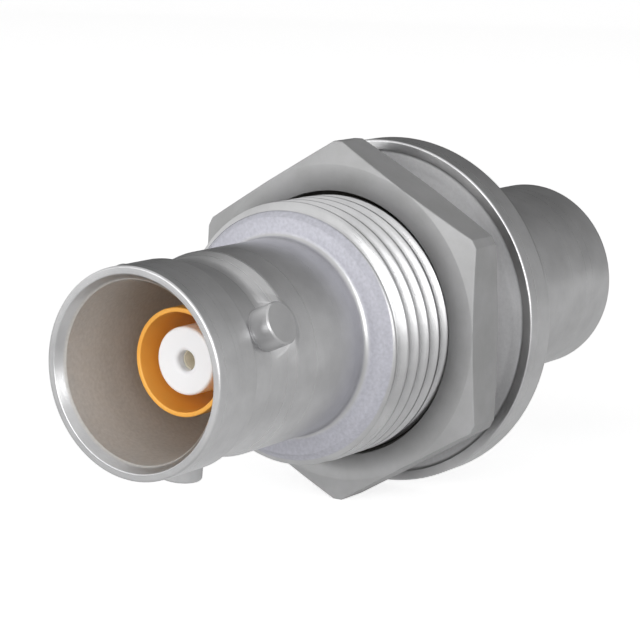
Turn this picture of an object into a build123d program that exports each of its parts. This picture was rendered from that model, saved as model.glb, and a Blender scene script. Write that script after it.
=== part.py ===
from build123d import *
import math
import os

# Triaxial bulkhead jack with three bayonet lugs, a rear clamp for the cable and a panel nut.
# Millimetres. The axis lies along Y and the mouth opens towards -Y.
# The origin is where the axis crosses the panel seat, the front of the flange's raised rim.
# Every section is drawn as radius against distance along the axis, and turned about Y.

# Bayonet shell
shell_length = 20.1
ring_dia = 9.6
ring_length = 2.7
band_depth = 0.3
band_end = 5.85
shell_depth = 0.04
mouth_wall = 0.67
rim_width = 0.36
mouth_chamfer = 0.5
cavity_depth = 9.5

# Bayonet lugs
lug_count = 3
lug_first_angle = 23.5
lug_dia = 2.0
lug_height = 0.75
lug_setback = 4.2
lug_fit = 0.02
lug_seat_wall = 0.15

# Threaded shank
shank_length = 8.7
thread_dia = 12.7
thread_lead = 0.64

# Panel nut and its lock washer
nut_across_flats = 15.7
nut_thickness = 2.4
nut_gap = 1.84
nut_fit = 0.05
nut_chamfer_angle = 13
nut_corner_cut = 0.135
washer_width = 0.85
washer_thickness = 0.6
washer_fit = 0.1
washer_teeth = 10
tooth_depth = 0.4
tooth_gap = 1.4

# Flange with a raised rim, a little wider than the nut
flange_overhang = 0.825
flange_thickness = 1.9
flange_rim = 0.475
recess_depth = 0.4
recess_slope = 0.35

# Rear barrel
barrel_length = 13.45

# Bores of the body and the walls round them, outwards from the intermediate contact
insulator_wall = 0.75
lip_height = 0.65
lip_thickness = 0.8
core_step = 0.42
clamp_wall = 0.63
clamp_depth = 6.75

# Shared radial clearance of the pieces that are pushed into each other
push_fit = 0.02

# Intermediate contact, the gold plated tube
middle_setback = 3.45
middle_dia = 5.0
middle_wall = 0.22
middle_clamp_step = 0.32
middle_clamp_depth = 6.5
middle_rear_wall = 0.4
middle_collar_step = 0.2
middle_collar_length = 1.2
front_insulator_length = 2.8

# Inner dielectric
nose_setback = 3.8
nose_gap = 0.71
nose_length = 4.1
nose_hole_lead = 0.02
nose_hole_depth = 0.55
dielectric_split_setback = 0.8
rear_dielectric_length = 4.2

# Centre contact
contact_bore = 0.9
contact_wall = 0.35
contact_bore_depth = 5.5
contact_slot = 0.2
contact_slot_length = 4.0
contact_collar_step = 0.35
contact_collar_length = 1.0
contact_collar_front = 0.6
contact_tip_gap = 0.05
cup_bore = 1.0
cup_wall = 0.25
cup_length = 5.3
cup_depth = 3.0
cup_hole = 0.6

# Clamp of the inner shield, inwards from the bore of the intermediate contact
inner_nut_wall = 0.55
ferrule_flange = 0.6
ferrule_length = 2.8
ferrule_wall = 0.3
inner_braid_room = 0.2
inner_nut_start = 0.2
inner_nut_length = 5.0
inner_nut_counterbore_depth = 2.3
inner_nut_slot = 0.8
inner_nut_slot_depth = 0.7

# Insulation at the rear
insulating_washer_thickness = 0.8
insulating_washer_room = 0.4

# Clamp of the outer shield and the jacket, inwards from the bore of the barrel
gasket_wall = 1.27
outer_ferrule_flange = 0.7
outer_ferrule_length = 2.7
outer_ferrule_wall = 0.4
clamp_fit = 0.04
loose_fit = 0.07
jacket_room = 0.1
braid_gap = 0.6
gasket_length = 2.0
clamp_washer_thickness = 0.5
clamp_nut_length = 2.65
clamp_nut_room = 0.4
spanner_slots = 4
spanner_slot_width = 1.0
spanner_slot_depth = 0.8

# Places along the axis, worked out from the sizes above
mouth_y = -shell_length
shoulder_y = -shank_length
cavity_floor_y = mouth_y + cavity_depth
lip_rear_y = cavity_floor_y + lip_thickness
rear_y = flange_thickness + barrel_length
clamp_step_y = rear_y - clamp_depth
nut_rear_y = -nut_gap
nut_front_y = nut_rear_y - nut_thickness
middle_front_y = mouth_y + middle_setback
collar_front_y = lip_rear_y + front_insulator_length
collar_rear_y = collar_front_y + middle_collar_length
nose_front_y = mouth_y + nose_setback
dielectric_split_y = collar_front_y + dielectric_split_setback
middle_step_y = dielectric_split_y + rear_dielectric_length
middle_rear_y = middle_step_y + middle_clamp_depth
contact_collar_front_y = dielectric_split_y - contact_collar_front
contact_collar_rear_y = contact_collar_front_y + contact_collar_length
contact_front_y = nose_front_y + nose_hole_depth + contact_tip_gap
cup_rear_y = contact_collar_rear_y + cup_length
inner_nut_front_y = middle_step_y + ferrule_flange + inner_nut_start
inner_nut_rear_y = inner_nut_front_y + inner_nut_length
insulating_washer_y = clamp_step_y - insulating_washer_thickness
gasket_front_y = clamp_step_y + outer_ferrule_flange + braid_gap
gasket_rear_y = gasket_front_y + gasket_length
clamp_nut_front_y = gasket_rear_y + clamp_washer_thickness
clamp_nut_rear_y = clamp_nut_front_y + clamp_nut_length

# Radii of the body
ring_r = ring_dia / 2
shell_r = ring_r - shell_depth
mouth_r = ring_r - mouth_wall
lug_seat_r = mouth_r + lug_seat_wall
thread_r = thread_dia / 2
flange_r = nut_across_flats / 2 + flange_overhang
recess_r = flange_r - flange_rim

# Radii of the intermediate contact and of the walls outside it
middle_r = middle_dia / 2
middle_bore_r = middle_r - middle_wall
middle_clamp_r = middle_bore_r + middle_clamp_step
middle_rear_r = middle_clamp_r + middle_rear_wall
middle_collar_r = middle_rear_r + middle_collar_step
core_r = middle_collar_r + insulator_wall
lip_r = core_r - lip_height
clamp_r = core_r + core_step
barrel_r = clamp_r + clamp_wall

# Radii of the centre contact and the cable's way in
nose_r = middle_bore_r - nose_gap
contact_r = contact_bore / 2 + contact_wall
contact_collar_r = contact_r + contact_collar_step
cup_r = cup_bore / 2 + cup_wall
inner_counterbore_r = middle_clamp_r - inner_nut_wall
ferrule_r = inner_counterbore_r - inner_braid_room
inner_cable_r = ferrule_r - ferrule_wall
insulating_washer_bore_r = inner_cable_r + insulating_washer_room
jacket_r = clamp_r - gasket_wall
outer_ferrule_r = jacket_r - jacket_room
outer_ferrule_bore_r = outer_ferrule_r - outer_ferrule_wall
clamp_nut_bore_r = jacket_r + clamp_nut_room

os.makedirs("parts", exist_ok=True)


def across(y):
    """Plane square to the axis at y, with local x along X and local y along Z."""
    return Plane.XZ.offset(-y)


def lug_plane(index):
    """Plane on the axis whose normal points out along lug number index."""
    angle = math.radians(lug_first_angle + index * 360 / lug_count)
    outward = (math.cos(angle), 0, math.sin(angle))
    return Plane(origin=(0, mouth_y + lug_setback, 0), x_dir=(0, 1, 0), z_dir=outward)


def finish(part, name):
    """Label a finished piece and write its file."""
    part.label = name
    export_step(part, f"parts/{name}.step")


# Jack body: shell, shank, flange and barrel turned from one bar
with BuildPart() as jack_body:
    with BuildSketch(Plane.XY):
        with BuildLine():
            Polyline(
                (ring_r - rim_width, mouth_y),
                (ring_r, mouth_y),
                (ring_r, mouth_y + ring_length),
                (ring_r - band_depth, mouth_y + ring_length),
                (ring_r - band_depth, mouth_y + band_end),
                (shell_r, mouth_y + band_end),
                (shell_r, shoulder_y),
                (thread_r - thread_lead, shoulder_y),
                (thread_r, shoulder_y + thread_lead),
                (thread_r, recess_depth),
                (recess_r - recess_slope, recess_depth),
                (recess_r, 0),
                (flange_r, 0),
                (flange_r, flange_thickness),
                (barrel_r, flange_thickness),
                (barrel_r, rear_y),
                (clamp_r, rear_y),
                (clamp_r, clamp_step_y),
                (core_r, clamp_step_y),
                (core_r, lip_rear_y),
                (lip_r, lip_rear_y),
                (lip_r, cavity_floor_y),
                (mouth_r, cavity_floor_y),
                (mouth_r, mouth_y + mouth_chamfer),
                close=True,
            )
        make_face()
    revolve(axis=Axis.Y)
    for index in range(lug_count):
        with BuildSketch(lug_plane(index).offset(lug_seat_r)):
            Circle(lug_dia / 2 + lug_fit)
        extrude(amount=ring_r, mode=Mode.SUBTRACT)
finish(jack_body.part, "jack_body")

# Bayonet lugs: round pins brazed into shallow seats, which leave the cavity's wall whole
for index in range(lug_count):
    with BuildPart() as bayonet_lug:
        with BuildSketch(lug_plane(index).offset(lug_seat_r)):
            Circle(lug_dia / 2)
        extrude(amount=ring_r + lug_height - lug_seat_r)
    finish(bayonet_lug.part, f"bayonet_lug_{index + 1}")

# Panel nut: thin hexagon with a corner up, its corners turned off and coned on both faces
nut_bore_r = thread_r + nut_fit
nut_corner_r = nut_across_flats / 2 / math.cos(math.pi / 6) - nut_corner_cut
nut_cone = (nut_corner_r - nut_across_flats / 2) * math.tan(math.radians(nut_chamfer_angle))
with BuildPart() as panel_nut:
    with BuildSketch(across(nut_front_y)):
        RegularPolygon(radius=nut_across_flats / 2, side_count=6, major_radius=False, rotation=90)
        Circle(nut_bore_r, mode=Mode.SUBTRACT)
    extrude(amount=-nut_thickness)
    with BuildSketch(Plane.XY):
        with BuildLine():
            Polyline(
                (0, nut_front_y),
                (nut_across_flats / 2, nut_front_y),
                (nut_corner_r, nut_front_y + nut_cone),
                (nut_corner_r, nut_rear_y - nut_cone),
                (nut_across_flats / 2, nut_rear_y),
                (0, nut_rear_y),
                close=True,
            )
        make_face()
    revolve(axis=Axis.Y, mode=Mode.INTERSECT)
finish(panel_nut.part, "panel_nut")

# Lock washer: flat ring with teeth cut in its bore
washer_bore_r = thread_r + washer_fit
with BuildPart() as lock_washer:
    with BuildSketch(across(nut_rear_y)):
        Circle(washer_bore_r + washer_width)
        Circle(washer_bore_r, mode=Mode.SUBTRACT)
        with PolarLocations(washer_bore_r, washer_teeth):
            Rectangle(2 * tooth_depth, tooth_gap, mode=Mode.SUBTRACT)
    extrude(amount=-washer_thickness)
finish(lock_washer.part, "lock_washer")

# Front outer insulator: bush behind the lip, with a boss through it
insulator_r = core_r - push_fit
insulator_bore_r = middle_r + push_fit
with BuildPart() as front_outer_insulator:
    with BuildSketch(Plane.XY):
        with BuildLine():
            Polyline(
                (insulator_bore_r, cavity_floor_y),
                (lip_r - push_fit, cavity_floor_y),
                (lip_r - push_fit, lip_rear_y),
                (insulator_r, lip_rear_y),
                (insulator_r, collar_front_y),
                (insulator_bore_r, collar_front_y),
                close=True,
            )
        make_face()
    revolve(axis=Axis.Y)
finish(front_outer_insulator.part, "front_outer_insulator")

# Intermediate contact: open tube in front, collar, and a rear barrel bored for the inner clamp
with BuildPart() as intermediate_contact:
    with BuildSketch(Plane.XY):
        with BuildLine():
            Polyline(
                (middle_bore_r, middle_front_y),
                (middle_r, middle_front_y),
                (middle_r, collar_front_y),
                (middle_collar_r, collar_front_y),
                (middle_collar_r, collar_rear_y),
                (middle_rear_r, collar_rear_y),
                (middle_rear_r, middle_rear_y),
                (middle_clamp_r, middle_rear_y),
                (middle_clamp_r, middle_step_y),
                (middle_bore_r, middle_step_y),
                close=True,
            )
        make_face()
    revolve(axis=Axis.Y)
finish(intermediate_contact.part, "intermediate_contact")

# Inner dielectric: slim nose in the mouth, full bore behind it, and a seat for the contact's collar
dielectric_r = middle_bore_r - push_fit
contact_channel_r = contact_r + push_fit
nose_hole_r = contact_bore / 2 + nose_hole_lead
with BuildPart() as inner_dielectric:
    with BuildSketch(Plane.XY):
        with BuildLine():
            Polyline(
                (nose_hole_r, nose_front_y),
                (nose_r, nose_front_y),
                (nose_r, nose_front_y + nose_length),
                (dielectric_r, nose_front_y + nose_length),
                (dielectric_r, dielectric_split_y),
                (contact_collar_r + push_fit, dielectric_split_y),
                (contact_collar_r + push_fit, contact_collar_front_y),
                (contact_channel_r, contact_collar_front_y),
                (contact_channel_r, nose_front_y + nose_hole_depth),
                (nose_hole_r, nose_front_y + nose_hole_depth),
                close=True,
            )
        make_face()
    revolve(axis=Axis.Y)
finish(inner_dielectric.part, "inner_dielectric")

# Centre contact: slotted socket in front, collar, and a solder cup behind
with BuildPart() as centre_contact:
    with BuildSketch(Plane.XY):
        with BuildLine():
            Polyline(
                (0, contact_front_y),
                (contact_r, contact_front_y),
                (contact_r, contact_collar_front_y),
                (contact_collar_r, contact_collar_front_y),
                (contact_collar_r, contact_collar_rear_y),
                (cup_r, contact_collar_rear_y),
                (cup_r, cup_rear_y),
                (0, cup_rear_y),
                close=True,
            )
        make_face()
    revolve(axis=Axis.Y)
    with BuildSketch(across(contact_front_y)):
        Circle(contact_bore / 2)
    extrude(amount=-contact_bore_depth, mode=Mode.SUBTRACT)
    with BuildSketch(across(contact_front_y)):
        Rectangle(contact_slot, 3 * contact_r)
    extrude(amount=-contact_slot_length, mode=Mode.SUBTRACT)
    with BuildSketch(across(cup_rear_y)):
        Circle(cup_bore / 2)
    extrude(amount=cup_depth, mode=Mode.SUBTRACT)
    with BuildSketch(Plane.XY):
        with Locations((0, cup_rear_y - cup_depth / 2)):
            Circle(cup_hole / 2)
    extrude(amount=2 * cup_r, mode=Mode.SUBTRACT)
finish(centre_contact.part, "centre_contact")

# Rear inner dielectric: bush that closes the collar's seat and fills the tube to its step
with BuildPart() as rear_inner_dielectric:
    with BuildSketch(Plane.XY):
        with BuildLine():
            Polyline(
                (contact_collar_r + push_fit, dielectric_split_y),
                (dielectric_r, dielectric_split_y),
                (dielectric_r, middle_step_y),
                (cup_r + push_fit, middle_step_y),
                (cup_r + push_fit, contact_collar_rear_y),
                (contact_collar_r + push_fit, contact_collar_rear_y),
                close=True,
            )
        make_face()
    revolve(axis=Axis.Y)
finish(rear_inner_dielectric.part, "rear_inner_dielectric")

# Rear outer insulator: sleeve from the collar to the insulating washer
with BuildPart() as rear_outer_insulator:
    with BuildSketch(Plane.XY):
        with BuildLine():
            Polyline(
                (middle_collar_r + push_fit, collar_front_y),
                (insulator_r, collar_front_y),
                (insulator_r, insulating_washer_y),
                (middle_rear_r + push_fit, insulating_washer_y),
                (middle_rear_r + push_fit, collar_rear_y),
                (middle_collar_r + push_fit, collar_rear_y),
                close=True,
            )
        make_face()
    revolve(axis=Axis.Y)
finish(rear_outer_insulator.part, "rear_outer_insulator")

# Inner braid ferrule: flange on the tube's step, and a sleeve that goes under the inner shield
with BuildPart() as inner_braid_ferrule:
    with BuildSketch(Plane.XY):
        with BuildLine():
            Polyline(
                (inner_cable_r, middle_step_y),
                (middle_clamp_r - push_fit, middle_step_y),
                (middle_clamp_r - push_fit, middle_step_y + ferrule_flange),
                (ferrule_r, middle_step_y + ferrule_flange),
                (ferrule_r, middle_step_y + ferrule_length),
                (inner_cable_r, middle_step_y + ferrule_length),
                close=True,
            )
        make_face()
    revolve(axis=Axis.Y)
finish(inner_braid_ferrule.part, "inner_braid_ferrule")

# Inner clamp nut: screws into the intermediate contact and traps the inner shield
inner_nut_r = middle_clamp_r - push_fit
with BuildPart() as inner_clamp_nut:
    with BuildSketch(Plane.XY):
        with BuildLine():
            Polyline(
                (inner_counterbore_r, inner_nut_front_y),
                (inner_nut_r, inner_nut_front_y),
                (inner_nut_r, inner_nut_rear_y),
                (inner_cable_r, inner_nut_rear_y),
                (inner_cable_r, inner_nut_front_y + inner_nut_counterbore_depth),
                (inner_counterbore_r, inner_nut_front_y + inner_nut_counterbore_depth),
                close=True,
            )
        make_face()
    revolve(axis=Axis.Y)
    with BuildSketch(across(inner_nut_rear_y)):
        Rectangle(3 * inner_nut_r, inner_nut_slot)
    extrude(amount=inner_nut_slot_depth, mode=Mode.SUBTRACT)
finish(inner_clamp_nut.part, "inner_clamp_nut")

# Insulating washer: flush with the step that the outer ferrule seats on
with BuildPart() as insulating_washer:
    with BuildSketch(across(insulating_washer_y)):
        Circle(insulator_r)
        Circle(insulating_washer_bore_r, mode=Mode.SUBTRACT)
    extrude(amount=-insulating_washer_thickness)
finish(insulating_washer.part, "insulating_washer")

# Outer braid ferrule: flange on the body's step, and a sleeve that goes under the outer shield
with BuildPart() as outer_braid_ferrule:
    with BuildSketch(Plane.XY):
        with BuildLine():
            Polyline(
                (outer_ferrule_bore_r, clamp_step_y),
                (clamp_r - clamp_fit, clamp_step_y),
                (clamp_r - clamp_fit, clamp_step_y + outer_ferrule_flange),
                (outer_ferrule_r, clamp_step_y + outer_ferrule_flange),
                (outer_ferrule_r, clamp_step_y + outer_ferrule_length),
                (outer_ferrule_bore_r, clamp_step_y + outer_ferrule_length),
                close=True,
            )
        make_face()
    revolve(axis=Axis.Y)
finish(outer_braid_ferrule.part, "outer_braid_ferrule")

# Cable gasket: rubber ring that the nut squeezes onto the jacket
with BuildPart() as cable_gasket:
    with BuildSketch(across(gasket_front_y)):
        Circle(clamp_r - loose_fit)
        Circle(jacket_r, mode=Mode.SUBTRACT)
    extrude(amount=-gasket_length)
finish(cable_gasket.part, "cable_gasket")

# Clamp washer: slides ahead of the clamp nut and keeps it from twisting the gasket
with BuildPart() as clamp_washer:
    with BuildSketch(across(gasket_rear_y)):
        Circle(clamp_r - loose_fit)
        Circle(jacket_r, mode=Mode.SUBTRACT)
    extrude(amount=-clamp_washer_thickness)
finish(clamp_washer.part, "clamp_washer")

# Rear clamp nut: slotted ring that screws into the barrel, with the cable's way in
clamp_nut_r = clamp_r - clamp_fit
with BuildPart() as rear_clamp_nut:
    with BuildSketch(across(clamp_nut_front_y)):
        Circle(clamp_nut_r)
        Circle(clamp_nut_bore_r, mode=Mode.SUBTRACT)
    extrude(amount=-clamp_nut_length)
    with BuildSketch(across(clamp_nut_rear_y)):
        with PolarLocations(clamp_nut_r, spanner_slots, start_angle=45):
            Rectangle(3 * (clamp_nut_r - clamp_nut_bore_r), spanner_slot_width)
    extrude(amount=spanner_slot_depth, mode=Mode.SUBTRACT)
finish(rear_clamp_nut.part, "rear_clamp_nut")
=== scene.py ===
import math

import bmesh
import bpy
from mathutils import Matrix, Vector


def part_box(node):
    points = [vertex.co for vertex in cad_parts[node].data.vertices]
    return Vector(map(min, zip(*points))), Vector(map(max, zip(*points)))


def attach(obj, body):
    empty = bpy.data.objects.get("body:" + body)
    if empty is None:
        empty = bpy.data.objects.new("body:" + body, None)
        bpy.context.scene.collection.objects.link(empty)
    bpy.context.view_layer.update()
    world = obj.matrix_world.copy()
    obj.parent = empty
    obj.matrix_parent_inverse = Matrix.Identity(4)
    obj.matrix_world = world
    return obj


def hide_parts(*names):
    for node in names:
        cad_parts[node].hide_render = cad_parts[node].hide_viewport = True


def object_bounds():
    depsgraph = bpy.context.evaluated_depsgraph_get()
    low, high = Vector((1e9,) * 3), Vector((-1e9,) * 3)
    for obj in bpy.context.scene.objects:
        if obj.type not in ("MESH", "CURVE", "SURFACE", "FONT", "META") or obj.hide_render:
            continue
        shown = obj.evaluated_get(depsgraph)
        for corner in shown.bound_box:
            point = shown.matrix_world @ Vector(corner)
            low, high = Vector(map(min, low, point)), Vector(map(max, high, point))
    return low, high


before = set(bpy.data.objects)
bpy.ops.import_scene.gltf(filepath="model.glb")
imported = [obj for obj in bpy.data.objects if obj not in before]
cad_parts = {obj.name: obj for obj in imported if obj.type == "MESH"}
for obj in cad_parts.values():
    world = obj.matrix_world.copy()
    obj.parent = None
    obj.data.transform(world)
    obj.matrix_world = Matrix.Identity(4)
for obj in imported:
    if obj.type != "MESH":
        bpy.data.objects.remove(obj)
cad_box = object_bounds()

# Looks of the triaxial bulkhead jack. The axis lies along Y and the mouth opens towards -Y.
# Lengths are in millimetres up to the moment a mesh or a light is made, and MM turns them into metres.
MM = 0.001

# Sizes taken from the CAD nodes


def turned_size(node):
    """Reach along +X and both ends along the axis of a CAD node, in millimetres."""
    low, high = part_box(node)
    return high.x / MM, low.y / MM, high.y / MM


flange_r, mouth_y, rear_y = turned_size("jack_body")
nut_flat_r, nut_front_y, nut_rear_y = turned_size("panel_nut")
washer_r, washer_front_y, washer_rear_y = turned_size("lock_washer")
bush_r, cavity_floor_y, collar_front_y = turned_size("front_outer_insulator")
collar_r, middle_front_y, middle_rear_y = turned_size("intermediate_contact")
dielectric_r, nose_front_y, dielectric_split_y = turned_size("inner_dielectric")
clamp_step_y = turned_size("insulating_washer")[2]
ferrule_r, ferrule_front_y, ferrule_rear_y = turned_size("outer_braid_ferrule")
gasket_r, gasket_front_y, gasket_rear_y = turned_size("cable_gasket")
disc_r, disc_front_y, disc_rear_y = turned_size("clamp_washer")
clamp_nut_r, clamp_nut_front_y, clamp_nut_rear_y = turned_size("rear_clamp_nut")

# Fits between pieces
push_fit = 0.02
clamp_fit = 0.04
washer_fit = 0.1

# Sizes of the turned body that no box gives
ring_r = 4.8
ring_length = 2.7
rim_width = 0.36
mouth_wall = 0.67
mouth_chamfer = 0.5
ring_back_edge = 0.1
ring_back_slope = 0.25
band_r = 4.46
band_ramp = 1.3
band_end = 5.85
shell_depth = 0.04
shank_length = 8.7
thread_r = 6.35
thread_lead = 0.64
thread_depth = 0.555
thread_end_y = -0.3
thread_fade = 0.35
flange_rim = 0.475
recess_r = flange_r - flange_rim
recess_depth = 0.4
recess_slope = 0.85
flange_rear_y = 1.9
barrel_r = 5.0
barrel_chamfer = 0.2
clamp_r = clamp_nut_r + clamp_fit
core_r = bush_r + push_fit
lip_r = 3.3
lip_thickness = 0.8
lip_rear_y = cavity_floor_y + lip_thickness

# Threads
thread_pitch = 25.4 / 28
thread_room = 0.03
nut_minor_r = 5.86
nut_mouth_r = 6.54
nut_mouth_depth = 0.35

# Nut
nut_corner_cut = 0.135
nut_cone_slope = math.tan(math.radians(13))
nut_cone_setback = 0.04
nut_cone_r = nut_flat_r - nut_cone_setback
nut_edge = 0.07
nut_edge_share = 0.4

# Lugs
lug_count = 3
lug_first_angle = 23.5
lug_r = 1.0
lug_top_r = 5.55
lug_root_r = 4.3
lug_setback = 4.2
lug_y = mouth_y + lug_setback
lug_edge_width = 0.06
lug_edge_height = 0.08
lug_neck_top_r = band_r + 0.12
lug_neck_foot_r = band_r + 0.04
lug_neck_depth = 0.03

# How finely the round pieces are cut, how far the support points stand from each rounded edge, and how
# close two points are when they merge
ARC_STEPS = 4
ROUND = 240
LUG_ROUND = 72
TOOTH_STEPS = 24
SUPPORT = 0.02
MERGE = 0.0002


def angles_round(count):
    """Evenly spaced angles about the axis, from +Z towards +X."""
    return [2 * math.pi * i / count for i in range(count)]


def rounded(points, closed=True):
    """Profile whose corners (radius, place, rounding) become short arcs with a support point each side."""
    out = []
    count = len(points)
    for i, (r, y, rounding) in enumerate(points):
        here = Vector((r, y))
        at_end = not closed and i in (0, count - 1)
        if rounding == 0 or at_end:
            out.append(here)
            continue
        back = (Vector(points[i - 1][:2]) - here).normalized()
        ahead = (Vector(points[(i + 1) % count][:2]) - here).normalized()
        half = back.angle(ahead) / 2
        tangent = rounding / math.tan(half)
        centre = here + (back + ahead).normalized() * (rounding / math.sin(half))
        start = here + back * tangent - centre
        end = here + ahead * tangent - centre
        sweep = start.angle(end)
        out.append(centre + start + back * SUPPORT)
        for k in range(ARC_STEPS + 1):
            t = k / ARC_STEPS
            mix = start * math.sin((1 - t) * sweep) + end * math.sin(t * sweep)
            out.append(centre + mix / math.sin(sweep))
        out.append(centre + end + ahead * SUPPORT)
    return out


def on_axis(r, y, angle):
    """Point at this radius, place and angle, in metres."""
    return Vector((r * math.sin(angle), y, r * math.cos(angle))) * MM


def join_columns(mesh, columns, closed):
    """Adds the faces between neighbouring columns of points, and from the last column to the first."""
    rows = len(columns[0])
    for i, left in enumerate(columns):
        right = columns[(i + 1) % len(columns)]
        for j in range(rows if closed else rows - 1):
            k = (j + 1) % rows
            mesh.faces.new((left[j], left[k], right[k], right[j]))


def add_skin(mesh, profile_at, angles, closed):
    """Adds the surface swept round the axis by a profile that may change with the angle."""
    columns = [[mesh.verts.new(on_axis(r, y, a)) for r, y in profile_at(a)] for a in angles]
    join_columns(mesh, columns, closed)


def add_thread(mesh, angles, first_y, last_y, first_r, last_r, radius_at):
    """Adds a right-handed helical surface between two ends, with its rows along the helix.

    Rows beyond an end gather on its circle, and finish_mesh merges them there.
    """
    steps = len(THREAD_SECTION)
    first_turn = math.floor(first_y / thread_pitch) - 2
    turns = math.ceil((last_y - first_y) / thread_pitch) + 4
    columns = []
    for a in angles:
        column = []
        for row in range(turns * steps):
            place, height = THREAD_SECTION[row % steps]
            y = (first_turn + row // steps + place + a / (2 * math.pi)) * thread_pitch
            if y <= first_y:
                point = on_axis(first_r, first_y, a)
            elif y >= last_y:
                point = on_axis(last_r, last_y, a)
            else:
                point = on_axis(radius_at(height, y), y, a)
            column.append(mesh.verts.new(point))
        columns.append(column)
    for i, left in enumerate(columns):
        wraps = i == len(columns) - 1
        right = columns[0] if wraps else columns[i + 1]
        shift = steps if wraps else 0
        for j in range(turns * steps - 1 - shift):
            mesh.faces.new((left[j], left[j + 1], right[j + 1 + shift], right[j + shift]))


def finish_mesh(name, mesh, body, *nodes):
    """Turns a bmesh into a smooth piece that rides on a body and stands for CAD nodes."""
    bmesh.ops.remove_doubles(mesh, verts=mesh.verts, dist=MERGE * MM)
    bmesh.ops.recalc_face_normals(mesh, faces=mesh.faces)
    for face in mesh.faces:
        face.smooth = True
    data = bpy.data.meshes.new(name)
    mesh.to_mesh(data)
    mesh.free()
    piece = bpy.data.objects.new(name, data)
    bpy.context.scene.collection.objects.link(piece)
    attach(piece, body)
    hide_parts(*nodes)
    return piece


def turned(name, points, body, *nodes):
    """Closed turned piece from corners (radius, place, rounding)."""
    profile = rounded(points)
    mesh = bmesh.new()
    add_skin(mesh, lambda a: profile, angles_round(ROUND), True)
    return finish_mesh(name, mesh, body, *nodes)


# One pitch of the thread: place along the pitch, and height as a share of the depth
THREAD_SECTION = [
    (0.00, 0.00),
    (0.07, 0.01),
    (0.11, 0.05),
    (0.20, 0.34),
    (0.30, 0.66),
    (0.39, 0.94),
    (0.42, 0.985),
    (0.45, 1.00),
    (0.50, 1.00),
    (0.55, 1.00),
    (0.58, 0.985),
    (0.61, 0.94),
    (0.70, 0.66),
    (0.80, 0.34),
    (0.89, 0.05),
    (0.93, 0.01),
]
root_r = thread_r - thread_depth

# Turned body: shell, shank, flange, barrel and bores, whose skin is closed by the thread
shoulder_y = -shank_length
shell_r = ring_r - shell_depth
body_corners = [
    (thread_r - thread_lead, shoulder_y, 0),
    (shell_r, shoulder_y, 0.3),
    (shell_r, mouth_y + band_end, 1),
    (band_r, mouth_y + band_end - band_ramp, 3),
    (band_r, mouth_y + ring_length + ring_back_slope, 0.4),
    (ring_r - ring_back_edge, mouth_y + ring_length, 0.03),
    (ring_r, mouth_y + ring_length, 0.04),
    (ring_r, mouth_y, 0.09),
    (ring_r - rim_width, mouth_y, 0.05),
    (ring_r - mouth_wall, mouth_y + mouth_chamfer, 0.08),
    (ring_r - mouth_wall, cavity_floor_y, 0.08),
    (lip_r, cavity_floor_y, 0.05),
    (lip_r, lip_rear_y, 0.05),
    (core_r, lip_rear_y, 0.05),
    (core_r, clamp_step_y, 0.05),
    (clamp_r, clamp_step_y, 0.05),
    (clamp_r, rear_y - barrel_chamfer, 0.03),
    (clamp_r + barrel_chamfer, rear_y, 0.04),
    (barrel_r, rear_y, 0.25),
    (barrel_r, flange_rear_y, 0.25),
    (flange_r, flange_rear_y, 0.18),
    (flange_r, 0, 0.08),
    (recess_r, 0, 0.06),
    (recess_r - recess_slope, recess_depth, 0.6),
    (thread_r, recess_depth, 0.05),
    (thread_r, thread_end_y, 0),
]
body_profile = rounded(body_corners, closed=False)


def shank_radius(height, y):
    """Radius of the shank's thread, cut down by the lead cone and fading out before the flange."""
    cone = thread_r - thread_lead + (y - shoulder_y)
    fade = 1 + (y - thread_end_y) / thread_fade
    return min(root_r + thread_depth * max(height, fade), cone)


body_mesh = bmesh.new()
add_skin(body_mesh, lambda a: body_profile, angles_round(ROUND), False)
add_thread(
    body_mesh,
    angles_round(ROUND),
    shoulder_y,
    thread_end_y,
    thread_r - thread_lead,
    thread_r,
    shank_radius,
)
body_piece = finish_mesh("turned_body", body_mesh, "jack", "jack_body")


# Bayonet lugs: round pins standing out of the shell
def make_lug(index):
    """Round pin with a softened top edge, standing out along its own direction."""
    corners = [
        (0, lug_top_r, 0),
        (lug_r - lug_edge_width, lug_top_r, 0.03),
        (lug_r, lug_top_r - lug_edge_height, 0.03),
        (lug_r, lug_neck_top_r, 0.04),
        (lug_r - lug_neck_depth, lug_neck_foot_r, 0.02),
        (lug_r, lug_root_r, 0),
        (0, lug_root_r, 0),
    ]
    mesh = bmesh.new()
    profile = rounded(corners, closed=False)
    add_skin(mesh, lambda a: profile, angles_round(LUG_ROUND), False)
    angle = math.radians(lug_first_angle + index * 360 / lug_count)
    outward = Vector((math.cos(angle), 0, math.sin(angle)))
    along = Vector((0, 1, 0))
    aside = along.cross(outward)
    for v in mesh.verts:
        x, height, z = v.co
        v.co = outward * height + along * (x + lug_y * MM) + aside * z
    return finish_mesh(f"lug_pin_{index + 1}", mesh, "jack", f"bayonet_lug_{index + 1}")


lugs = [make_lug(index) for index in range(lug_count)]


# Panel nut: hexagon with a corner up, turned corners with cones, and a real thread in its bore
nut_corner_r = nut_flat_r / math.cos(math.pi / 6) - nut_corner_cut
turned_half_angle = math.degrees(math.pi / 6 - math.acos(nut_flat_r / nut_corner_r))


def hexagon_radius(angle):
    """Radius of the hexagon at an angle, with its corners at 0, 60, 120 degrees and so on turned off."""
    away = (angle + math.pi / 6) % (math.pi / 3) - math.pi / 6
    flat = nut_flat_r / math.cos(abs(away) - math.pi / 6)
    return min(flat, nut_corner_r)


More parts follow.
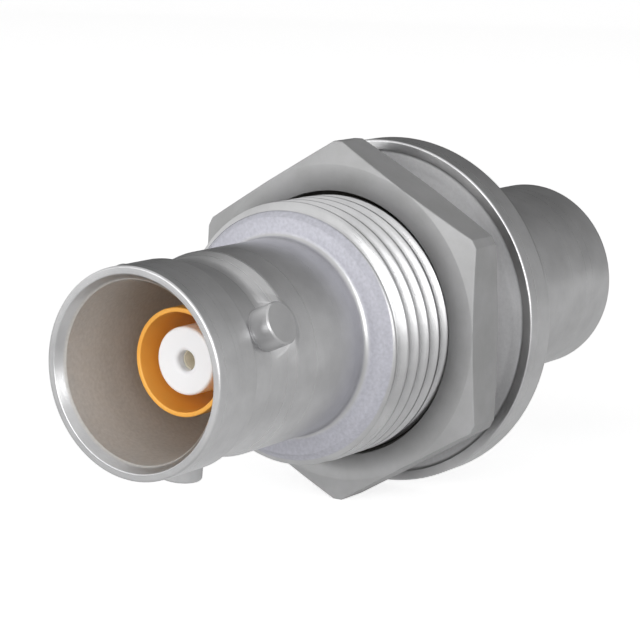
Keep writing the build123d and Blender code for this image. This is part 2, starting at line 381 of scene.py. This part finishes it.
def nut_angles():
    """Angles round the nut, close together at the edges of its turned corners."""
    edge = turned_half_angle
    before_corner = [-edge - 0.25, -edge - 0.08, -edge + 0.08, -edge + 0.3]
    after_corner = [edge - 0.3, edge - 0.08, edge + 0.08, edge + 0.25]
    flat = [3, 4.6, 6.5, *range(9, 52, 3), 53.5, 55.4, 57]
    side_angles = before_corner + [0] + after_corner + flat
    return [math.radians(60 * side + step) for side in range(6) for step in side_angles]


def nut_profile(angle):
    """Outer profile of the nut at an angle, from one mouth of its bore to the other."""
    outer = hexagon_radius(angle)
    cone = (outer - nut_cone_r) * nut_cone_slope
    edge = min(nut_edge, nut_edge_share * (outer - nut_cone_r))
    corners = [
        (nut_mouth_r, nut_front_y, 0),
        (nut_cone_r, nut_front_y, 0.02),
        (outer, nut_front_y + cone, edge),
        (outer, nut_rear_y - cone, edge),
        (nut_cone_r, nut_rear_y, 0.02),
        (nut_mouth_r, nut_rear_y, 0),
    ]
    return rounded(corners, closed=False)


def nut_thread_radius(height, y):
    """Radius of the nut's thread, with its crests cut to the bore and both ends opened out."""
    bore = max(root_r + thread_depth * height + thread_room, nut_minor_r)
    depth_in = min(y - nut_front_y, nut_rear_y - y)
    opened = nut_mouth_r - max(0, depth_in - nut_mouth_depth)
    return max(bore, opened)


nut_mesh = bmesh.new()
add_skin(nut_mesh, nut_profile, nut_angles(), False)
add_thread(nut_mesh, nut_angles(), nut_front_y, nut_rear_y, nut_mouth_r, nut_mouth_r, nut_thread_radius)
nut_piece = finish_mesh("hexagon_nut", nut_mesh, "panel_nut", "panel_nut")

# Lock washer: flat ring behind the nut, with teeth in its bore
washer_bore_r = thread_r + washer_fit
washer_teeth = 10
tooth_depth = 0.4
tooth_gap_half = 0.18
tooth_gap_sharpness = 60


def washer_profile(angle):
    """Section of the lock washer, whose bore opens out between the teeth."""
    share = (angle * washer_teeth / (2 * math.pi)) % 1
    gap = 0.5 + 0.5 * math.tanh((tooth_gap_half - abs(share - 0.5)) * tooth_gap_sharpness)
    bore = washer_bore_r + tooth_depth * gap
    return rounded(
        [
            (bore, washer_front_y, 0.03),
            (washer_r, washer_front_y, 0.06),
            (washer_r, washer_rear_y, 0.06),
            (bore, washer_rear_y, 0.03),
        ]
    )


washer_mesh = bmesh.new()
add_skin(washer_mesh, washer_profile, angles_round(washer_teeth * TOOTH_STEPS), True)
washer_piece = finish_mesh("lock_ring", washer_mesh, "nut_washer", "lock_washer")

# Contacts and dielectrics seen in the mouth
tube_r = 2.5
tube_bore_r = 2.28
rear_dielectric_length = 4.2
tube_step_y = dielectric_split_y + rear_dielectric_length
tube_clamp_r = 2.6
tube_rear_r = 3.0
collar_length = 1.2
collar_rear_y = collar_front_y + collar_length
tube_piece = turned(
    "middle_tube",
    [
        (tube_bore_r, middle_front_y, 0.05),
        (tube_r, middle_front_y, 0.06),
        (tube_r, collar_front_y, 0.03),
        (collar_r, collar_front_y, 0.03),
        (collar_r, collar_rear_y, 0.03),
        (tube_rear_r, collar_rear_y, 0.03),
        (tube_rear_r, middle_rear_y, 0.05),
        (tube_clamp_r, middle_rear_y, 0.05),
        (tube_clamp_r, tube_step_y, 0.03),
        (tube_bore_r, tube_step_y, 0.03),
    ],
    "jack",
    "intermediate_contact",
)

nose_r = 1.57
nose_length = 4.1
nose_rear_y = nose_front_y + nose_length
nose_hole_r = 0.47
nose_hole_depth = 0.55
channel_front_y = nose_front_y + nose_hole_depth
channel_r = 0.82
seat_r = 1.17
seat_depth = 0.6
seat_front_y = dielectric_split_y - seat_depth
nose_piece = turned(
    "nose_dielectric",
    [
        (nose_hole_r, nose_front_y, 0.2),
        (nose_r, nose_front_y, 0.14),
        (nose_r, nose_rear_y, 0.05),
        (dielectric_r, nose_rear_y, 0.05),
        (dielectric_r, dielectric_split_y, 0.03),
        (seat_r, dielectric_split_y, 0.03),
        (seat_r, seat_front_y, 0.03),
        (channel_r, seat_front_y, 0.03),
        (channel_r, channel_front_y, 0.03),
        (nose_hole_r, channel_front_y, 0.03),
    ],
    "jack",
    "inner_dielectric",
)

bush_piece = turned(
    "front_bush",
    [
        (tube_r + push_fit, cavity_floor_y, 0.05),
        (lip_r - push_fit, cavity_floor_y, 0.05),
        (lip_r - push_fit, lip_rear_y, 0.03),
        (bush_r, lip_rear_y, 0.03),
        (bush_r, collar_front_y, 0.03),
        (tube_r + push_fit, collar_front_y, 0.03),
    ],
    "jack",
    "front_outer_insulator",
)

# Clamp of the outer shield, seen from the rear
jacket_r = 3.1
ferrule_bore_r = 2.6
ferrule_sleeve_r = 3.0
ferrule_flange = 0.7
ferrule_step_y = ferrule_front_y + ferrule_flange
ferrule_piece = turned(
    "outer_ferrule",
    [
        (ferrule_bore_r, ferrule_front_y, 0.03),
        (ferrule_r, ferrule_front_y, 0.04),
        (ferrule_r, ferrule_step_y, 0.04),
        (ferrule_sleeve_r, ferrule_step_y, 0.04),
        (ferrule_sleeve_r, ferrule_rear_y, 0.06),
        (ferrule_bore_r, ferrule_rear_y, 0.06),
    ],
    "jack",
    "outer_braid_ferrule",
)

gasket_piece = turned(
    "gasket_ring",
    [
        (jacket_r, gasket_front_y, 0.08),
        (gasket_r, gasket_front_y, 0.08),
        (gasket_r, gasket_rear_y, 0.08),
        (jacket_r, gasket_rear_y, 0.08),
    ],
    "jack",
    "cable_gasket",
)

disc_piece = turned(
    "clamp_disc",
    [
        (jacket_r, disc_front_y, 0.05),
        (disc_r, disc_front_y, 0.05),
        (disc_r, disc_rear_y, 0.05),
        (jacket_r, disc_rear_y, 0.05),
    ],
    "clamp_washer",
    "clamp_washer",
)

# Rear clamp nut: ring with four spanner slots across its rear face
clamp_nut_bore_r = 3.5
clamp_nut_chamfer = 0.15
slot_count = 4
slot_first_angle = math.pi / 4
slot_half_width = 0.5
slot_depth = 0.8
slot_floor_y = clamp_nut_rear_y - slot_depth
slot_steps = 8
land_steps = 52
sharp_edge_degrees = 40
ring_profile = rounded(
    [
        (clamp_nut_bore_r, clamp_nut_front_y, 0.05),
        (clamp_nut_r - clamp_nut_chamfer, clamp_nut_front_y, 0.03),
        (clamp_nut_r, clamp_nut_front_y + clamp_nut_chamfer, 0.03),
        (clamp_nut_r, clamp_nut_rear_y, 0.05),
        (clamp_nut_bore_r + clamp_nut_chamfer, clamp_nut_rear_y, 0.03),
        (clamp_nut_bore_r, clamp_nut_rear_y - clamp_nut_chamfer, 0.03),
    ]
)


def ring_column(mesh, middle, share, in_slot):
    """Column of the clamp nut at a share of the way across a slot, or from that slot to the next."""
    column = []
    for r, y in ring_profile:
        edge = math.asin(slot_half_width / r)
        if in_slot:
            angle = middle + edge * (2 * share - 1)
            y = min(y, slot_floor_y)
        else:
            angle = middle + edge + (2 * math.pi / slot_count - 2 * edge) * share
        column.append(mesh.verts.new(on_axis(r, y, angle)))
    return column


ring_mesh = bmesh.new()
ring_columns = []
for slot in range(slot_count):
    slot_angle = slot_first_angle + slot * 2 * math.pi / slot_count
    for in_slot, steps in ((True, slot_steps), (False, land_steps)):
        for step in range(steps + 1):
            ring_columns.append(ring_column(ring_mesh, slot_angle, step / steps, in_slot))
join_columns(ring_mesh, ring_columns, True)
clamp_nut_piece = finish_mesh("clamp_ring", ring_mesh, "clamp_nut", "rear_clamp_nut")
clamp_nut_piece.data.set_sharp_from_angle(angle=math.radians(sharp_edge_degrees))

# Materials. Texture scales are per metre, and depths of relief are in millimetres.
TURNING_SCALE = 9000
GRAIN_SCALE = 14000
CLOUD_SCALE = 420
PIT_SCALE = 6000
TURNING_DEPTH = 0.02
GRAIN_DEPTH = 0.03
SEAM_DEPTH = 0.04
SEAM_STRENGTH = 0.9
ZONE_SOFTNESS = 0.06

# Seam of the shallow facing round each lug: its radius, step and fade, and where it starts behind the lug
seam_r = 1.8
seam_step = 0.08
seam_fade_start = 0.1
seam_fade_end = 0.5
seam_start_y = lug_y + 0.4
seam_full_y = lug_y + 0.9


def new_material(name):
    """Empty node material and its shader."""
    material = bpy.data.materials.new(name)
    material.use_nodes = True
    tree = material.node_tree
    shader = tree.nodes["Principled BSDF"]
    return material, tree, shader


def add_node(tree, kind, inputs=None, **settings):
    """Node with its settings and its unlinked inputs filled in."""
    node = tree.nodes.new(kind)
    for key, value in settings.items():
        setattr(node, key, value)
    for key, value in (inputs or {}).items():
        if isinstance(value, bpy.types.NodeSocket):
            tree.links.new(value, node.inputs[key])
        else:
            node.inputs[key].default_value = value
    return node


def round_coordinates(tree, here):
    """Distance from the axis, place along it, and both as one point for textures that run round the axis."""
    parts = add_node(tree, "ShaderNodeSeparateXYZ", {0: here})
    flat = add_node(tree, "ShaderNodeCombineXYZ", {0: parts.outputs[0], 2: parts.outputs[2]})
    radius = add_node(tree, "ShaderNodeVectorMath", {0: flat.outputs[0]}, operation="LENGTH").outputs["Value"]
    place = parts.outputs[1]
    section = add_node(tree, "ShaderNodeCombineXYZ", {0: radius, 1: place}).outputs[0]
    return radius, place, section


def multiply(tree, first, second):
    """Product of two values."""
    return add_node(tree, "ShaderNodeMath", {0: first, 1: second}, operation="MULTIPLY").outputs[0]


def noise(tree, vector, scale, detail=2.0, roughness=0.5):
    """Noise value with its scale given per metre."""
    inputs = {"Vector": vector, "Scale": scale, "Detail": detail, "Roughness": roughness}
    return add_node(tree, "ShaderNodeTexNoise", inputs).outputs["Fac"]


def spread(tree, value, low, high, low_in=0.0, high_in=1.0):
    """Value carried from one range to another, clamped."""
    node = add_node(
        tree,
        "ShaderNodeMapRange",
        {"Value": value, "From Min": low_in, "From Max": high_in, "To Min": low, "To Max": high},
    )
    return node.outputs["Result"]


def blend_colours(tree, share, first, second):
    """Mix of two colours."""
    node = add_node(tree, "ShaderNodeMix", {"Factor": share}, data_type="RGBA")
    for index, value in ((6, first), (7, second)):
        if isinstance(value, bpy.types.NodeSocket):
            tree.links.new(value, node.inputs[index])
        else:
            node.inputs[index].default_value = (*value, 1)
    return node.outputs[2]


def mix_values(tree, share, first, second):
    """Mix of two values."""
    return add_node(tree, "ShaderNodeMix", {0: share, 2: first, 3: second}).outputs[0]


def relief(tree, height, strength, depth, below=None):
    """Normal of a fine relief whose depth is in millimetres, laid over another normal if one is given."""
    inputs = {"Height": height, "Strength": strength, "Distance": depth * MM}
    if below is not None:
        inputs["Normal"] = below
    return add_node(tree, "ShaderNodeBump", inputs).outputs[0]


def inside(tree, value, low, high):
    """1 between two values in millimetres and 0 outside them, with soft ends."""
    above = spread(tree, value, 0, 1, low * MM, (low + ZONE_SOFTNESS) * MM)
    below = spread(tree, value, 1, 0, (high - ZONE_SOFTNESS) * MM, high * MM)
    return multiply(tree, above, below)


def zone_mask(tree, radius, place, zone):
    """1 inside a zone given by two places along the axis and two radii, in millimetres."""
    low_y, high_y, low_r, high_r = zone
    return multiply(tree, inside(tree, place, low_y, high_y), inside(tree, radius, low_r, high_r))


def lug_seam(tree, here, radius, place):
    """Height of the edge that a shallow round facing leaves behind each lug."""
    nearest = None
    for index in range(lug_count):
        angle = math.radians(lug_first_angle + index * 360 / lug_count)
        centre = Vector((math.cos(angle) * lug_top_r, lug_y, math.sin(angle) * lug_top_r)) * MM
        inputs = {0: here, 1: tuple(centre)}
        away = add_node(tree, "ShaderNodeVectorMath", inputs, operation="DISTANCE").outputs["Value"]
        if nearest is None:
            nearest = away
        else:
            closer = add_node(tree, "ShaderNodeMath", {0: nearest, 1: away}, operation="MINIMUM")
            nearest = closer.outputs[0]
    edge = spread(tree, nearest, 0, 1, seam_r * MM, (seam_r + seam_step) * MM)
    within = spread(tree, nearest, 1, 0, (seam_r + seam_fade_start) * MM, (seam_r + seam_fade_end) * MM)
    outside = spread(tree, radius, 0, 1, (band_r - 0.1) * MM, (band_r - 0.05) * MM)
    behind = spread(tree, place, 0, 1, seam_start_y * MM, seam_full_y * MM)
    for share in (within, outside, behind):
        edge = multiply(tree, edge, share)
    return edge


def plated(name, light, dark, rough, turning, grain, metal=1.0, zones=(), around_lugs=False):
    """Plated metal with turning marks, a satin grain and faint clouding, and zones with a finish of their
    own, some painted lighter or darker as painted light and painted shade.
    """
    material, tree, shader = new_material(name)
    here = add_node(tree, "ShaderNodeTexCoord").outputs["Object"]
    radius, place, section = round_coordinates(tree, here)
    lines = noise(tree, section, TURNING_SCALE, 3, 0.6)
    fine = noise(tree, here, GRAIN_SCALE, 2)
    clouds = noise(tree, here, CLOUD_SCALE, 4, 0.6)
    colour = blend_colours(tree, spread(tree, clouds, 0, 1, 0.35, 0.65), dark, light)
    rough_value = spread(tree, lines, rough - 0.04, rough + 0.06, 0.3, 0.7)
    metal_value = metal
    pits = spread(tree, noise(tree, here, PIT_SCALE, 3), 0, 1, 0.3, 0.7)
    for zone, zone_light, zone_dark, zone_rough, zone_metal in zones:
        share = zone_mask(tree, radius, place, zone)
        colour = blend_colours(tree, share, colour, blend_colours(tree, pits, zone_dark, zone_light))
        rough_value = mix_values(tree, share, rough_value, zone_rough)
        metal_value = mix_values(tree, share, metal_value, zone_metal)
    if zones:
        tree.links.new(metal_value, shader.inputs["Metallic"])
    else:
        shader.inputs["Metallic"].default_value = metal
    tree.links.new(colour, shader.inputs["Base Color"])
    tree.links.new(rough_value, shader.inputs["Roughness"])
    normal = relief(tree, lines, turning, TURNING_DEPTH)
    if around_lugs:
        normal = relief(tree, lug_seam(tree, here, radius, place), SEAM_STRENGTH, SEAM_DEPTH, normal)
    normal = relief(tree, fine, grain, GRAIN_DEPTH, normal)
    tree.links.new(normal, shader.inputs["Normal"])
    return material


# Zones with a finish of their own, some painted lighter or darker as painted light and painted shade: first
# and last place along the axis and inner and outer radius, then light and dark colour, roughness and metal
# share
# Shoulder face: partly a duller plating, partly painted light, as its pale lavender, nearly non-metallic
# colour stands in for the strong light on this face
shoulder_dull_painted_light = (
    (shoulder_y - 0.06, shoulder_y + 0.36, shell_r + 0.02, thread_r),
    (0.56, 0.56, 0.62),
    (0.46, 0.46, 0.51),
    0.6,
    0.1,
)
# Mouth's inner wall and cavity: partly a duller plating, partly painted light, as its paler, warm, nearly
# non-metallic colour lightens the shaded cavity
cavity_dull_painted_light = (
    (mouth_y + 0.2, cavity_floor_y + 0.3, 0, ring_r - mouth_wall + 0.1),
    (0.6, 0.585, 0.56),
    (0.52, 0.505, 0.48),
    0.45,
    0.2,
)
# Flange recess: painted light, a pale colour that lightens the recess between nut and flange where it lies in
# shade
recess_painted_light = (
    (0.02, 0.6, thread_r + 0.05, recess_r + 0.1),
    (0.8, 0.8, 0.81),
    (0.74, 0.74, 0.75),
    0.35,
    0.25,
)
# Thread roots: painted shade, a dark colour in the grooves between the crests
thread_roots_painted_shade = (
    (shoulder_y + 0.9, thread_end_y, root_r - 0.1, root_r + 0.16),
    (0.3, 0.3, 0.3),
    (0.2, 0.2, 0.2),
    0.5,
    0.9,
)
# Nut's bore: painted shade, a near-black colour inside the threaded bore
nut_bore = (
    (nut_front_y + 0.05, nut_rear_y - 0.05, 5.7, nut_mouth_r + 0.02),
    (0.16, 0.15, 0.14),
    (0.1, 0.09, 0.08),
    0.5,
    0.9,
)
nickel = plated(
    "nickel_plate",
    (0.59, 0.59, 0.595),
    (0.5, 0.5, 0.505),
    rough=0.3,
    turning=0.12,
    grain=0.2,
    zones=[shoulder_dull_painted_light, cavity_dull_painted_light, recess_painted_light, thread_roots_painted_shade],
    around_lugs=True,
)
nut_nickel = plated(
    "nut_nickel",
    (0.42, 0.42, 0.425),
    (0.36, 0.36, 0.36),
    rough=0.42,
    turning=0.1,
    grain=0.12,
    metal=0.15,
    zones=[nut_bore],
)
bright_nickel = plated(
    "bright_nickel", (0.72, 0.71, 0.7), (0.62, 0.61, 0.6), rough=0.2, turning=0.15, grain=0.1
)
lug_nickel = plated(
    "lug_nickel", (0.55, 0.55, 0.555), (0.48, 0.48, 0.485), rough=0.32, turning=0.08, grain=0.1, metal=0.7
)
gold = plated(
    "gold_plate", (1.0, 0.5, 0.09), (1.0, 0.46, 0.07), rough=0.34, turning=0.03, grain=0.05, metal=0.1
)
# Centre contact: gold painted pale, a painted highlight standing in for the light that reaches the contact
# deep in its hole
painted_light_gold = plated(
    "painted_light_gold_plate", (1.0, 0.93, 0.78), (0.97, 0.88, 0.7), rough=0.5, turning=0.1, grain=0.1, metal=0.1
)
brass = plated("plain_brass", (0.8, 0.64, 0.36), (0.68, 0.52, 0.27), rough=0.3, turning=0.3, grain=0.1)


def smooth_white(name):
    """White fluoropolymer: waxy, with faint turning marks."""
    material, tree, shader = new_material(name)
    here = add_node(tree, "ShaderNodeTexCoord").outputs["Object"]
    section = round_coordinates(tree, here)[2]
    colour = blend_colours(tree, noise(tree, here, 900, 3), (0.95, 0.96, 1.0), (0.98, 0.985, 1.0))
    tree.links.new(colour, shader.inputs["Base Color"])
    shader.inputs["Subsurface Weight"].default_value = 0.25
    shader.inputs["Subsurface Radius"].default_value = (MM, MM, MM)
    tree.links.new(spread(tree, noise(tree, section, 6000), 0.35, 0.5), shader.inputs["Roughness"])
    marks = noise(tree, section, 8000, 3)
    tree.links.new(relief(tree, marks, 0.12, TURNING_DEPTH), shader.inputs["Normal"])
    return material


def black_rubber(name):
    """Moulded rubber with a dull bloom."""
    material, tree, shader = new_material(name)
    here = add_node(tree, "ShaderNodeTexCoord").outputs["Object"]
    bloom = noise(tree, here, 1500, 4)
    colour = blend_colours(tree, bloom, (0.018, 0.018, 0.02), (0.05, 0.05, 0.052))
    tree.links.new(colour, shader.inputs["Base Color"])
    tree.links.new(spread(tree, bloom, 0.55, 0.8), shader.inputs["Roughness"])
    skin = noise(tree, here, 12000, 3)
    tree.links.new(relief(tree, skin, 0.3, GRAIN_DEPTH), shader.inputs["Normal"])
    return material


white = smooth_white("white_dielectric")
rubber = black_rubber("gasket_rubber")


def dress(piece, material):
    """Gives a piece one material."""
    piece.data.materials.clear()
    piece.data.materials.append(material)


dress(body_piece, nickel)
for lug in lugs:
    dress(lug, lug_nickel)
dress(nut_piece, nut_nickel)
dress(washer_piece, bright_nickel)
dress(tube_piece, gold)
dress(nose_piece, white)
dress(bush_piece, white)
dress(ferrule_piece, bright_nickel)
dress(gasket_piece, rubber)
dress(disc_piece, bright_nickel)
dress(clamp_nut_piece, nickel)
for node, material in (
    ("centre_contact", painted_light_gold),
    ("rear_inner_dielectric", white),
    ("rear_outer_insulator", white),
    ("insulating_washer", white),
    ("inner_braid_ferrule", brass),
    ("inner_clamp_nut", brass),
):
    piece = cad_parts[node]
    piece.data.materials.clear()
    piece.data.materials.append(material)

# Camera at the photograph's place, fitted to the circles of the mouth, thread, nut and flange
camera_place = Vector((64.582, -100.474, 20.129)) * MM
camera_direction = Vector((-0.55413, 0.81493, -0.16978))
camera_data = bpy.data.cameras.new("camera")
camera_data.lens = 134.99
camera_data.sensor_width = 36
camera_data.clip_start = 0.001
camera_data.clip_end = 20
camera = bpy.data.objects.new("camera", camera_data)
camera.location = camera_place
camera.rotation_mode = "QUATERNION"
camera.rotation_quaternion = camera_direction.to_track_quat("-Z", "Y")
bpy.context.scene.collection.objects.link(camera)
bpy.context.scene.camera = camera

# White world behind everything. As a source of light it is dimmer, and comes more from the front
# than from above and behind.
WORLD_FRONT = 0.7
WORLD_BEHIND = 0.08
UP_AND_BACK = (0, 0.7, 0.714)
world = bpy.data.worlds.new("studio")
bpy.context.scene.world = world
world.use_nodes = True
world_tree = world.node_tree
background = world_tree.nodes["Background"]
background.inputs["Color"].default_value = (1, 1, 1, 1)
seen = add_node(world_tree, "ShaderNodeLightPath")
plain_white = seen.outputs["Is Camera Ray"]
for ray in ("Is Glossy Ray", "Is Transmission Ray"):
    inputs = {0: plain_white, 1: seen.outputs[ray]}
    plain_white = add_node(world_tree, "ShaderNodeMath", inputs, operation="MAXIMUM").outputs[0]
direction = add_node(world_tree, "ShaderNodeTexCoord").outputs["Generated"]
behind = add_node(
    world_tree, "ShaderNodeVectorMath", {0: direction, 1: UP_AND_BACK}, operation="DOT_PRODUCT"
)
fill = spread(world_tree, behind.outputs["Value"], WORLD_FRONT, WORLD_BEHIND, -0.3, 0.8)
strength = mix_values(world_tree, plain_white, fill, 1.0)
world_tree.links.new(strength, background.inputs["Strength"])


def flat_piece(name, centre, facing, width, height, material):
    """Rectangle in the studio, square to a direction."""
    mesh = bmesh.new()
    turn = Vector(facing).to_track_quat("Z", "Y")
    points = []
    for across, up in ((-1, -1), (1, -1), (1, 1), (-1, 1)):
        corner = turn @ Vector((across * width / 2, up * height / 2, 0))
        points.append(mesh.verts.new((Vector(centre) + corner) * MM))
    mesh.faces.new(points)
    data = bpy.data.meshes.new(name)
    mesh.to_mesh(data)
    mesh.free()
    piece = bpy.data.objects.new(name, data)
    piece.data.materials.append(material)
    bpy.context.scene.collection.objects.link(piece)
    return piece


# Pale floor that keeps a soft shadow, and glows for the camera and in metal so that it shows as white
FLOOR_WIDTH = 8000
FLOOR_CAMERA_GLOW = 0.7
FLOOR_GLOSSY_GLOW = 0.3
floor_material, floor_tree, floor_shader = new_material("floor")
floor_shader.inputs["Base Color"].default_value = (0.9, 0.9, 0.9, 1)
floor_shader.inputs["Roughness"].default_value = 0.9
floor_shader.inputs["Emission Color"].default_value = (1, 1, 1, 1)
floor_seen = add_node(floor_tree, "ShaderNodeLightPath")
camera_glow = spread(floor_tree, floor_seen.outputs["Is Camera Ray"], 0, FLOOR_CAMERA_GLOW)
glossy_glow = spread(floor_tree, floor_seen.outputs["Is Glossy Ray"], 0, FLOOR_GLOSSY_GLOW)
floor_glow = add_node(floor_tree, "ShaderNodeMath", {0: camera_glow, 1: glossy_glow}, operation="ADD")
floor_tree.links.new(floor_glow.outputs[0], floor_shader.inputs["Emission Strength"])
floor_z = cad_box[0].z / MM
flat_piece("floor", (0, 0, floor_z), (0, 0, 1), FLOOR_WIDTH, FLOOR_WIDTH, floor_material)

# Brightness of the back card at its lower left, above and at its right
CARD_DARK = 0.05
CARD_ABOVE = 0.24
CARD_RIGHT = 0.52


def back_card_material():
    """Card that metal reflects, dark at the lower left, mid grey above and lighter on the right."""
    material, tree, shader = new_material("back_card")
    place = add_node(tree, "ShaderNodeNewGeometry").outputs["Position"]
    parts = add_node(tree, "ShaderNodeSeparateXYZ", {0: place})
    upward = spread(tree, parts.outputs[2], CARD_DARK, CARD_ABOVE, 0.06, 0.33)
    right = spread(tree, parts.outputs[0], 0, 1, -0.02, 0.33)
    level = mix_values(tree, right, upward, CARD_RIGHT)
    shader.inputs["Base Color"].default_value = (0, 0, 0, 1)
    shader.inputs["Roughness"].default_value = 1
    shader.inputs["Specular IOR Level"].default_value = 0
    shader.inputs["Emission Color"].default_value = (1, 1, 1, 1)
    tree.links.new(level, shader.inputs["Emission Strength"])
    return material


def add_light(name, centre, target, width, height, power):
    """Soft rectangular lamp aimed at a point."""
    data = bpy.data.lights.new(name, "AREA")
    data.shape = "RECTANGLE"
    data.size = width * MM
    data.size_y = height * MM
    data.energy = power
    lamp = bpy.data.objects.new(name, data)
    lamp.location = Vector(centre) * MM
    lamp.rotation_mode = "QUATERNION"
    lamp.rotation_quaternion = (Vector(target) - Vector(centre)).to_track_quat("-Z", "Y")
    bpy.context.scene.collection.objects.link(lamp)


back_card = flat_piece("back_card", (-100, 420, 290), (0, -1, 0), 1000, 640, back_card_material())
back_card.visible_camera = False
back_card.visible_shadow = False
back_card.visible_diffuse = False
add_light("key", (130, -400, 90), (0, -5, 0), width=1200, height=240, power=2.2)

view = bpy.context.scene.view_settings
view.view_transform = "Standard"
